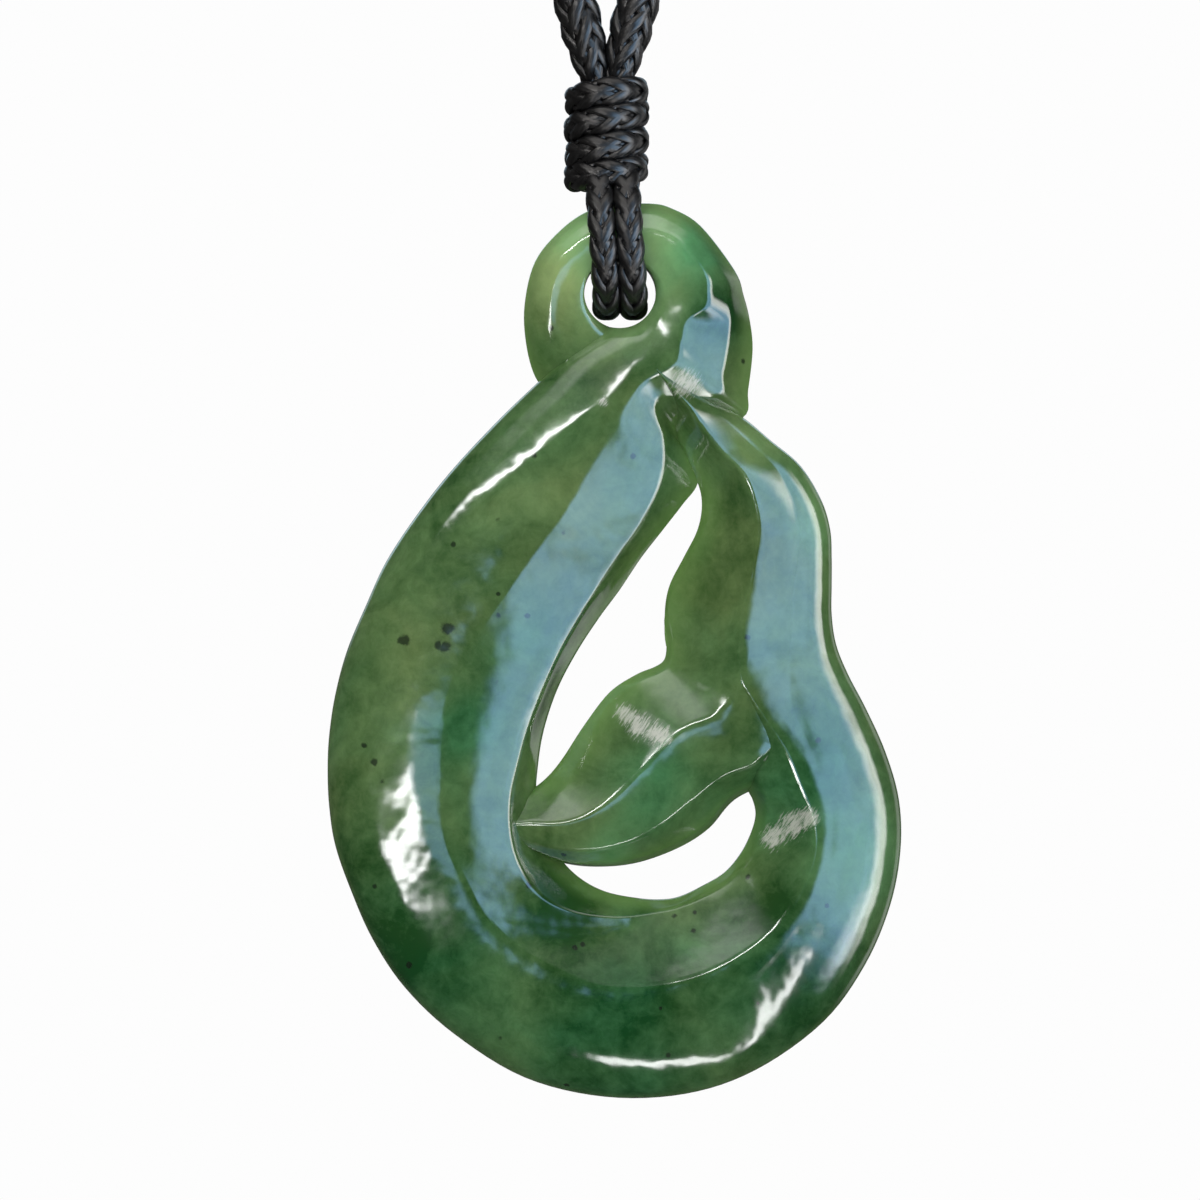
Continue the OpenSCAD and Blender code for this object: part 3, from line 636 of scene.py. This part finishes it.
def black_specks(shader, mm, front):
    """1 in each speck: the larger ones at their places, and fine ones in some cells."""
    cells = shader.node("ShaderNodeTexVoronoi", {"feature": "F1"}, {
        "Vector": mm, "Scale": 0.42, "Randomness": 1.0,
    })
    chance = shader.node("ShaderNodeSeparateColor", None, {"Color": cells.out("Color")}).out("Red")
    nearest = cells.out("Distance") * 11 + shader.fade(chance, 0.72, 0.7) * 9
    for x, z, radius in SPECKS:
        nearest = nearest.math("MINIMUM", nearest, shader.away(front, x, z) / radius)
    ragged = (shader.noise(mm, 2.6, 3, 0.6) - 0.5) * 1.4
    return 1 - shader.fade(nearest + ragged, 0.55, 1.25)


def scuff_and_highlight_places(shader, front, behind):
    """1 in the middle of each worn place on the front, which is rougher and carries a painted white
    highlight, and 0 where the polish is whole.
    """
    polish = 1.0
    for x, z, radius in SCUFF_AND_HIGHLIGHT_PLACES:
        polish = shader.fade(shader.away(front, x, z), 0.1 * radius, 1.1 * radius) * polish
    return (1 - polish) * shader.fade(behind, 0.3, -0.3)


def scratch_highlights(shader, front, scuff_and_highlight):
    """1 on fine scratches, painted white as a highlight, that lie closer together where the stone is
    more worn.
    """
    turned = shader.node("ShaderNodeVectorRotate", {"rotation_type": "Y_AXIS"},
                         {"Vector": front, "Angle": HATCH_LEAN}).out("Vector")
    hatch = shader.noise(shader.scaled(turned, (7.5, 1, 1.3)), 1.0, 4, 0.7, 0.4)
    return shader.fade(hatch + scuff_and_highlight * 0.3, 0.6, 0.84) * shader.fade(scuff_and_highlight, 0.0, 0.3)


def polished_greenstone(sizes):
    """Nephrite: cloudy green with black specks under a worn wet polish, with painted light: a yellow
    glow where thin, a grey reflection on the bevel, and white highlights on worn scratches.
    """
    shader = Shader("polished_greenstone")
    mm = shader.millimetres()
    local = shader.node("ShaderNodeVectorMath", {"operation": "SUBTRACT"},
                        {0: mm, 1: tuple(HOLE)}).out("Vector")
    front = shader.scaled(local, (1, 0, 1))
    behind = shader.part(local, "Y")
    scuff_and_highlight = scuff_and_highlight_places(shader, front, behind)
    band = shader.node("ShaderNodeAttribute", {"attribute_name": "band"}).out("Vector")
    bevel = shader.fade(shader.part(band, "Z"), 1.97, 2.05)

    colour = cloudy_green(shader, sizes, mm, front, abs(behind))
    colour = shader.mix(black_specks(shader, mm, front) * 0.82, colour, SPECK_BLACK)
    # Scratches in worn places are painted near white as a highlight
    colour = shader.mix(scratch_highlights(shader, front, scuff_and_highlight) * 0.72, colour, SCUFF_HIGHLIGHT_WHITE)
    # The bevel is tinted grey as a painted reflection of the soft light above it
    colour = shader.mix(bevel * 0.08, colour, BEVEL_REFLECTION_GREY)

    # Fine scratches run along the band, and the polish is dullest on the bevel and in worn clouds
    scratch = shader.noise(shader.scaled(band, (0.22, 5.0, 0)), 1.0, 4, 0.7)
    worn = shader.fade(shader.noise(mm, 0.3, 3, 0.6, 0.8), 0.5, 0.75)
    dull = shader.fade(scratch, 0.35, 0.8) * (0.08 + worn * 0.16 + bevel * 0.1) + bevel * 0.03
    ripple = shader.noise(mm, 0.35, 2, 0.45)
    bump = shader.node("ShaderNodeBump", None, {
        "Strength": 0.17, "Distance": 0.0004, "Height": ripple + scratch * 0.035,
    }).out("Normal")
    glaze = shader.node("ShaderNodeBsdfPrincipled", None, {
        "Base Color": colour,
        "Roughness": 0.075 + dull + scuff_and_highlight * 0.25,
        "IOR": 1.62,
        "Normal": bump,
        "Subsurface Weight": 0.2,
        "Subsurface Radius": (0.6, 1.0, 0.5),
        "Subsurface Scale": 0.0012,
    })
    return shader.finish(glaze.out("BSDF"))


class Braid(NamedTuple):
    """How a cord is braided, in millimetres.

    The plaits wind round an oval with half sizes wide and deep. One plait's full turn is turn long,
    and below 0 it winds the other way. A plait has its own half width and half depth, and rises
    over and dives under the others by wave. step is the distance between two rings of points, and
    sides the number of points in a ring.
    """

    wide: float
    deep: float
    plaits: int
    turn: float
    plait_wide: float
    plait_deep: float
    wave: float
    step: float
    sides: int


NECK_BRAID = Braid(1.15, 1.15, 12, 11.4, 0.5, 0.27, 0.16, 0.42, 8)
LOOP_BRAID = Braid(0.56, 0.68, 8, -7, 0.44, 0.23, 0.12, 0.14, 10)
KNOT_BRAID = Braid(0.72, 0.5, 8, 7, 0.43, 0.23, 0.12, 0.14, 10)
# Steps between two points of a route, before it is divided evenly
NECK_ROUTE_STEPS, STRAND_ROUTE_STEPS = 40, 30
# Heights at which the neck cord's ends narrow into the knot, and their size there
NECK_TAPER = (-240.5, -239.4, -238.5, -237), (0.62, 0.78, 0.88, 1)
# From the hole's centre sideways to each strand's centre line, and the strands' lean to the left
# for each millimetre up
STRAND_OUT, STRAND_LEAN = 0.9, 0.07
# The knot's lowest and highest point above the hole's centre, and the turns that it is wound in
KNOT_BOTTOM, KNOT_TOP, KNOT_TURNS = 6.9, 14.4, 4
# From the knot's middle to the flat braid's, and how much nearer its tucked ends come
KNOT_REACH, KNOT_TUCK = 2.1, 1.0
# What each end is wound past its last full turn, as a share of a turn, and the height of one wrap
KNOT_SPARE, KNOT_WRAP = 0.12, 2.0
# How far a wrap rises from left to right, for each millimetre
KNOT_RISE = 0.05
# Lines of fibre across one plait
NECK_FIBRES, THIN_FIBRES = 13, 12


def along_route(points, step):
    """A polyline's points again at even steps, with how far along it each is."""
    gaps = np.linalg.norm(np.diff(points, axis=0), axis=1)
    far = np.concatenate([[0], np.cumsum(gaps)])
    count = max(int(round(far[-1] / step)), 2)
    even = np.linspace(0, far[-1], count + 1)
    return np.column_stack([np.interp(even, far, points[:, k]) for k in range(3)]), even


def unit_rows(v):
    return v / np.linalg.norm(v, axis=1)[:, None]


def plait_tube(centre, out, half_width, half_depth, sides):
    """The rings of points of an oval tube, its depth along out."""
    run = unit_rows(np.gradient(centre, axis=0))
    out = unit_rows(out - run * np.sum(out * run, axis=1)[:, None])
    over = np.cross(run, out)
    turns = [2 * math.pi * (i + 0.5) / sides for i in range(sides)]
    rings = [centre + math.cos(a) * half_width * over + math.sin(a) * half_depth * out
             for a in turns]
    return np.stack(rings, axis=1).reshape(-1, 3)


def plait_tubes(route, far, facing, scale, kind):
    """The points of the braid's core and then of each of its plaits.

    Plaits of one hand lie on top in every second sector of the oval, so that they make columns.
    """
    tangent = unit_rows(np.gradient(route, axis=0))
    side = unit_rows(np.cross(tangent, facing))
    up = np.cross(side, tangent)
    each_way = kind.plaits // 2
    size = scale[:, None]
    tubes = [plait_tube(route, up, kind.wide * size, kind.deep * size, kind.sides)]
    for k in range(kind.plaits):
        way = 1 if k < each_way else -1
        angle = 2 * math.pi * (k % each_way) / each_way + way * 2 * math.pi * far / kind.turn
        rise = way * kind.wave * np.sin(each_way // 2 * angle)
        flat = np.column_stack([kind.wide * np.cos(angle), kind.deep * np.sin(angle)])
        normal = unit_rows(np.column_stack([np.cos(angle) / kind.wide, np.sin(angle) / kind.deep]))
        flat = (flat + normal * rise[:, None]) * size
        centre = route + flat[:, :1] * side + flat[:, 1:] * up
        out = normal[:, :1] * side + normal[:, 1:] * up
        tubes.append(plait_tube(centre, out, kind.plait_wide * size, kind.plait_deep * size,
                                kind.sides))
    return tubes


def braid(name, route, far, facing, scale, kind):
    """A braid along a route, with a UV map of places round and along each plait.

    facing is the direction that the oval's depth lies along at each point, and scale its size.
    """
    tubes = plait_tubes(route, far, facing, scale, kind)
    count, sides = len(route), kind.sides
    faces, marks = [], []
    for base in range(0, len(tubes) * count * sides, count * sides):
        faces.append([base + i for i in range(sides)])
        marks += [(i / sides, 0.0) for i in range(sides)]
        for j in range(count - 1):
            for i in range(sides):
                n = (i + 1) % sides
                a, b = base + j * sides, base + (j + 1) * sides
                faces.append([a + i, b + i, b + n, a + n])
                low, high = i / sides, (i + 1) / sides
                marks += [(low, far[j]), (low, far[j + 1]), (high, far[j + 1]), (high, far[j])]
        last = base + (count - 1) * sides
        faces.append([last + i for i in range(sides - 1, -1, -1)])
        marks += [(i / sides, far[-1]) for i in range(sides - 1, -1, -1)]
    ob = new_piece(name, np.concatenate(tubes), faces)
    layer = ob.data.uv_layers.new(name="plait")
    layer.data.foreach_set("uv", np.array(marks, np.float32).ravel())
    select_only(ob)
    bpy.ops.object.shade_smooth()
    return ob


def knot_route():
    """The flat braid's middle line, wound up round the knot, with both ends tucked in."""
    half = KNOT_TURNS / 2
    turn = np.linspace(-KNOT_SPARE, KNOT_TURNS + KNOT_SPARE, 900) - half
    angle = 2 * math.pi * turn + math.pi
    # The tuck takes a fifth of a turn
    tucked = np.clip((np.abs(turn) - half + 0.1) / 0.2, 0, 1)
    reach = KNOT_REACH - KNOT_TUCK * tucked
    pitch = (KNOT_TOP - KNOT_BOTTOM - KNOT_WRAP) / (KNOT_TURNS - 1)
    middle = HOLE[2] + (KNOT_BOTTOM + KNOT_TOP) / 2
    x = reach * np.sin(angle)
    y = HOLE[1] - reach * np.cos(angle)
    z = middle + np.clip(turn, 0.5 - half, half - 0.5) * pitch + KNOT_RISE * x
    return np.column_stack([x, y, z])


def waxed_cord(name, sizes, fibres):
    """Black waxed yarn: fine lines along each plait, with a soft shine."""
    shader = Shader(name)
    plait = shader.node("ShaderNodeUVMap", {"uv_map": "plait"}).out("UV")
    fibre = shader.noise(shader.scaled(plait, (fibres, 0.8, 1)), 1.0, 2, 0.6)
    worn = shader.noise(shader.millimetres(), 1.5, 2)
    black = tuple(sizes.black)
    dusty = tuple(3.5 * c for c in black)
    colour = shader.mix(shader.fade(fibre * 0.6 + worn * 0.4, 0.4, 0.7), black, dusty)
    bump = shader.node("ShaderNodeBump", None, {
        "Strength": 0.7, "Distance": 0.00008, "Height": fibre,
    }).out("Normal")
    yarn = shader.node("ShaderNodeBsdfPrincipled", None, {
        "Base Color": colour,
        "Roughness": 0.26 + worn * 0.16,
        "Specular Tint": (1.0, 0.96, 0.93),
        "Normal": bump,
    })
    return shader.finish(yarn.out("BSDF"))


def dress(ob, material, slot, body, *nodes):
    """Gives a finished piece its material and its body, and hides the solids it stands for; slot is
    not used.
    """
    ob.data.materials.clear()
    ob.data.materials.append(material)
    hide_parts(*nodes)
    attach(ob, body)


# The point at the middle of the view, which the lamps hang round too
AIM = Vector((HOLE + (-1.34, 0, -20.6)) * MM)
SENSOR_WIDTH = 36
# In metres: the floor, the lamps from the point above, and how much further out each panel hangs
# than the one before
FLOOR_HEIGHT, FLOOR_RADIUS = -0.9, 3
LAMP_DISTANCE, PANEL_GAP = 0.55, 0.004
# The polish mirrors softboxes, which are curved panels round the stone. Each spans angles from the
# camera's side of the stone, and turns round that direction from the right hand upward, in degrees,
# with soft edges between the outer and inner values, and has a radiance and a tint
BLUE, SKY, WHITE = (0.36, 0.64, 1.0), (0.62, 0.83, 1.0), (1, 1, 1)
SOFTBOXES = [
    ("softbox_right", (20, 29, 52, 68), (-46, -30, 24, 37), 5.2, BLUE),
    ("softbox_high", (28, 33, 52, 68), (24, 37, 40, 48), 5.2, BLUE),
    ("edge_right", (52, 62, 70, 78), (-40, -20, 20, 40), 8.0, WHITE),
    ("glow_right", (44, 52, 58, 64), (-44, -36, -24, -14), 4.0, WHITE),
    ("rim_right", (110, 120, 132, 145), (-45, -30, 24, 40), 0.8, WHITE),
    ("softbox_top", (16, 30, 54, 62), (50, 66, 118, 140), 0.38, WHITE),
    ("glow_top", (54, 62, 78, 92), (50, 66, 118, 140), 2.2, WHITE),
    ("softbox_back", (140, 150, 160, 167), (20, 34, 150, 170), 1.2, SKY),
]
# Points of a softbox from its inner to its outer angle, and along its turn
SOFTBOX_GRID = 25, 41
# Tube lights: both ends as degrees to the right and upward, half the width, radiance and tint
TUBES = [
    ("tube_left", (-3, 19), (-45, 36), 2.4, 26.0, WHITE),
    ("window_left", (-12, -3), (-32, -14), 1.7, 26.0, WHITE),
    ("tube_low", (25, -19), (27, -54), 2.2, 16.0, WHITE),
    ("tube_bottom", (-8, -44), (25, -57), 3.0, 16.0, WHITE),
    ("strip_left", (-8, -6), (-8, 0.3), 7.5, 3.4, BLUE),
]
# Points of a tube light along it and across it, and where it fades in each of those directions
TUBE_GRID = 41, 9
TUBE_FADE_ALONG, TUBE_FADE_ACROSS = (0, 0.15, 0.85, 1), (-1, -0.65, 0.65, 1)
# Lamps that only light the body colour: name, angle and turn as above, size and radiance
FILLS = [
    ("fill_front", 38, 115, 0.5, 2.8),
    ("fill_low", 50, -60, 0.4, 1.6),
    ("fill_back", 150, 90, 0.5, 2.2),
]
# Strength of the white surroundings as they light the stone, as it mirrors them, and as seen
SKY_LIGHT, SKY_MIRRORED, SKY_SEEN = 0.34, 0.06, 0.982


def toward(angle, turn):
    """The direction at an angle from the camera's side of the stone, turned from right upward."""
    a, t = math.radians(angle), math.radians(turn)
    return Vector((math.sin(a) * math.cos(t), -math.cos(a), math.sin(a) * math.sin(t)))


def swell(value, edges):
    """0 outside the outer edges, 1 between the inner ones, smooth between."""
    low = np.clip((value - edges[0]) / (edges[1] - edges[0]), 0, 1)
    high = np.clip((edges[3] - value) / (edges[3] - edges[2]), 0, 1)
    t = np.minimum(low, high)
    return t * t * (3 - 2 * t)


def mirrored_panel(name, grid, wide, glow, tint, reach):
    """A panel of light that only a polished surface sees, from rows of angles and turns."""
    points = [(AIM + toward(angle, turn) * reach) / MM for angle, turn in grid]
    rows = len(grid) // wide
    faces = [(i * wide + j, i * wide + j + 1, (i + 1) * wide + j + 1, (i + 1) * wide + j)
             for i in range(rows - 1) for j in range(wide - 1)]
    panel = new_piece(name, points, faces)
    panel.data.attributes.new("glow", "FLOAT", "POINT").data.foreach_set("value", glow)
    shader = Shader(name)
    strength = shader.node("ShaderNodeAttribute", {"attribute_name": "glow"}).out("Fac")
    place = shader.node("ShaderNodeTexCoord").out("Object")
    uneven = 0.4 + shader.noise(place, 11, 4, 0.65, 0.8) * 1.2
    light = shader.node("ShaderNodeEmission", None, {"Color": tint, "Strength": strength * uneven})
    clear = shader.node("ShaderNodeBsdfTransparent")
    both = shader.node("ShaderNodeAddShader", None, {0: light.out("Emission"), 1: clear.out("BSDF")})
    panel.data.materials.append(shader.finish(both.out("Shader")))
    for ray in ("camera", "diffuse", "transmission", "volume_scatter", "shadow"):
        setattr(panel, "visible_" + ray, False)


def softbox(name, angles, turns, radiance, tint, reach):
    """A curved softbox whose edges fade."""
    rows, wide = SOFTBOX_GRID
    grid = [(angle, turn) for angle in np.linspace(angles[0], angles[3], rows)
            for turn in np.linspace(turns[0], turns[3], wide)]
    glow = [radiance * swell(angle, angles) * swell(turn, turns) for angle, turn in grid]
    mirrored_panel(name, grid, wide, glow, tint, reach)


def tube_light(name, start, end, half, radiance, tint, reach):
    """A straight tube light whose sides and ends fade."""
    rows, wide = TUBE_GRID
    start, end = np.array(start, float), np.array(end, float)
    along = (end - start) / np.linalg.norm(end - start)
    across = np.array([-along[1], along[0]])
    grid, glow = [], []
    for u in np.linspace(0, 1, rows):
        for v in np.linspace(-1, 1, wide):
            x, z = start + (end - start) * u + across * half * v
            grid.append((math.hypot(x, z), math.degrees(math.atan2(z, x))))
            glow.append(radiance * swell(v, TUBE_FADE_ACROSS) * swell(u, TUBE_FADE_ALONG))
    mirrored_panel(name, grid, wide, glow, tint, reach)


def front_camera(context, distance, width):
    """The camera straight in front of the stone, which sees a width there."""
    deselect()
    bpy.ops.object.camera_add(
        location=AIM - Vector((0, distance, 0)), rotation=(math.pi / 2, 0, 0)
    )
    camera = context.active_object
    camera.name = "camera"
    camera.data.sensor_width = SENSOR_WIDTH
    camera.data.lens = SENSOR_WIDTH * distance / width
    return camera


def pale_floor(context):
    """A plain floor that neither lights the stone nor is mirrored in it."""
    deselect()
    bpy.ops.mesh.primitive_circle_add(
        vertices=96, radius=FLOOR_RADIUS, fill_type="NGON", location=(0, 0, FLOOR_HEIGHT)
    )
    floor = context.active_object
    floor.name = "floor"
    shader = Shader("pale_floor")
    pale = shader.node("ShaderNodeBsdfPrincipled", None, {
        "Base Color": (0.86, 0.86, 0.85), "Roughness": 0.8,
        "Emission Color": (1, 1, 0.99), "Emission Strength": 0.42,
    })
    floor.data.materials.append(shader.finish(pale.out("BSDF")))
    floor.visible_diffuse = False
    floor.visible_glossy = False


def fill_lamp(context, name, angle, turn, size, radiance):
    """A square lamp that faces the stone and isn't mirrored in it."""
    deselect()
    way = toward(angle, turn)
    bpy.ops.object.light_add(type="AREA", location=AIM + way * LAMP_DISTANCE)
    lamp = context.active_object
    lamp.name = name
    lamp.rotation_euler = way.to_track_quat("Z", "Y").to_euler()
    lamp.data.size = size
    lamp.data.energy = radiance * size * size * math.pi
    lamp.visible_camera = False
    lamp.visible_glossy = False


def white_surroundings():
    """A world that lights softly, is hardly mirrored, and looks white."""
    world = bpy.data.worlds.new("surroundings")
    world.use_nodes = True
    nodes, links = world.node_tree.nodes, world.node_tree.links
    nodes.clear()
    path = nodes.new("ShaderNodeLightPath")

    def sky(strength):
        made = nodes.new("ShaderNodeBackground")
        made.inputs["Color"].default_value = (1, 1, 1, 1)
        made.inputs["Strength"].default_value = strength
        return made.outputs["Background"]

    surface = sky(SKY_LIGHT)
    for ray, strength in (("Is Glossy Ray", SKY_MIRRORED), ("Is Camera Ray", SKY_SEEN)):
        either = nodes.new("ShaderNodeMixShader")
        links.new(path.outputs[ray], either.inputs["Fac"])
        links.new(surface, either.inputs[1])
        links.new(sky(strength), either.inputs[2])
        surface = either.outputs["Shader"]
    links.new(surface, nodes.new("ShaderNodeOutputWorld").inputs["Surface"])
    return world


class PENDANT_OT_stage(bpy.types.Operator):
    """Makes the camera, the lamps, the pale floor and the white surroundings"""

    bl_idname = "pendant.stage"
    bl_label = "Stage"

    def execute(self, context):
        studio = context.scene.pendant_studio
        scene = context.scene
        scene.view_settings.view_transform = "Standard"
        scene.camera = front_camera(context, studio.distance, studio.width)
        pale_floor(context)
        reach = LAMP_DISTANCE
        for name, angles, turns, radiance, tint in SOFTBOXES:
            softbox(name, angles, turns, radiance * studio.key, tint, reach)
            reach += PANEL_GAP
        for name, start, end, half, radiance, tint in TUBES:
            tube_light(name, start, end, half, radiance * studio.key, tint, reach)
            reach += PANEL_GAP
        for name, angle, turn, size, radiance in FILLS:
            fill_lamp(context, name, angle, turn, size, radiance * studio.key)
        scene.world = white_surroundings()
        return {"FINISHED"}


class PENDANT_OT_neck_cord(bpy.types.Operator):
    """Braids the thick cord in two halves that meet at the nape"""

    bl_idname = "pendant.neck_cord"
    bl_label = "Neck cord"

    def execute(self, context):
        sizes = context.scene.pendant_cord
        radius = sizes.neck / MM / 2
        right = curve_through(NECK_ROUTE, NECK_ROUTE_STEPS)
        left = right[-2::-1] * (-1, 1, 1)
        whole = np.concatenate([right, left]) + (0, radius, 0)
        route, far = along_route(whole, NECK_BRAID.step)
        facing = np.column_stack([route[:, 0], route[:, 1] - HOLE[1] / 2, 0 * far])
        scale = np.interp(route[:, 2], *NECK_TAPER)
        material = waxed_cord("waxed_neck_cord", sizes, NECK_FIBRES)
        middle = len(route) // 2
        for name, half in (("neck_braid_right", slice(0, middle + 1)),
                           ("neck_braid_left", slice(middle, None))):
            piece = braid(name, route[half], far[half], facing[half], scale[half], NECK_BRAID)
            dress(piece, material, "thick_braid", "root", "neck_cord")
        return {"FINISHED"}


class PENDANT_OT_loop_strands(bpy.types.Operator):
    """Braids the two thin strands that pass through the hole"""

    bl_idname = "pendant.loop_strands"
    bl_label = "Loop strands"

    def execute(self, context):
        material = waxed_cord("waxed_loop_cord", context.scene.pendant_cord, THIN_FIBRES)
        depth_height = curve_through(STRAND_ROUTE, STRAND_ROUTE_STEPS)
        lean = STRAND_LEAN * np.maximum(depth_height[:, 1], 0)
        for name, node, out in (("loop_braid_left", "loop_strand_left", -STRAND_OUT),
                                ("loop_braid_right", "loop_strand_right", STRAND_OUT)):
            path = np.column_stack([out - lean, depth_height]) + HOLE
            route, far = along_route(path, LOOP_BRAID.step)
            facing = np.tile((1.0, 0.0, 0.0), (len(route), 1))
            piece = braid(name, route, far, facing, np.ones(len(route)), LOOP_BRAID)
            dress(piece, material, "thin_braid", "root", node)
        return {"FINISHED"}


class PENDANT_OT_knot(bpy.types.Operator):
    """Winds the flat braid of the knot round its core"""

    bl_idname = "pendant.knot"
    bl_label = "Knot"

    def execute(self, context):
        route, far = along_route(knot_route(), KNOT_BRAID.step)
        facing = np.column_stack([route[:, 0], route[:, 1] - HOLE[1], 0 * far])
        piece = braid("knot_wraps", route, far, facing, np.ones(len(route)), KNOT_BRAID)
        material = waxed_cord("waxed_knot_cord", context.scene.pendant_cord, THIN_FIBRES)
        dress(piece, material, "thin_braid", "root", "wrapped_knot")
        return {"FINISHED"}


class PENDANT_OT_hook(bpy.types.Operator):
    """Carves the stone"""

    bl_idname = "pendant.hook"
    bl_label = "Carved hook"

    def execute(self, context):
        sizes = context.scene.pendant_stone
        hook = carve_hook(sizes)
        dress(hook, polished_greenstone(sizes), "green_stone", "stone", "stone_hook")
        return {"FINISHED"}


OPERATORS = [
    PENDANT_OT_stage,
    PENDANT_OT_neck_cord,
    PENDANT_OT_loop_strands,
    PENDANT_OT_knot,
    PENDANT_OT_hook,
]
GROUPS = {
    "pendant_studio": PendantStudio,
    "pendant_cord": PendantCord,
    "pendant_stone": PendantStone,
}


class PENDANT_PT_panel(bpy.types.Panel):
    """The pendant's sizes and colours, and the steps that make it"""

    bl_label = "Pendant"
    bl_idname = "PENDANT_PT_panel"
    bl_space_type = "VIEW_3D"
    bl_region_type = "UI"
    bl_category = "Pendant"

    def draw(self, context):
        layout = self.layout
        for group in GROUPS:
            settings = getattr(context.scene, group)
            for key in settings.__annotations__:
                layout.prop(settings, key)
        for operator in OPERATORS:
            layout.operator(operator.bl_idname)


def register():
    for item in [*GROUPS.values(), *OPERATORS, PENDANT_PT_panel]:
        bpy.utils.register_class(item)
    for name, group in GROUPS.items():
        setattr(bpy.types.Scene, name, PointerProperty(type=group))


def unregister():
    for name in GROUPS:
        delattr(bpy.types.Scene, name)
    for item in reversed([*GROUPS.values(), *OPERATORS, PENDANT_PT_panel]):
        bpy.utils.unregister_class(item)


def main():
    """Registers the add-on, then makes the stage and then each piece."""
    register()
    for operator in OPERATORS:
        group, name = operator.bl_idname.split(".")
        getattr(getattr(bpy.ops, group), name)()


if __name__ == "__main__":
    main()
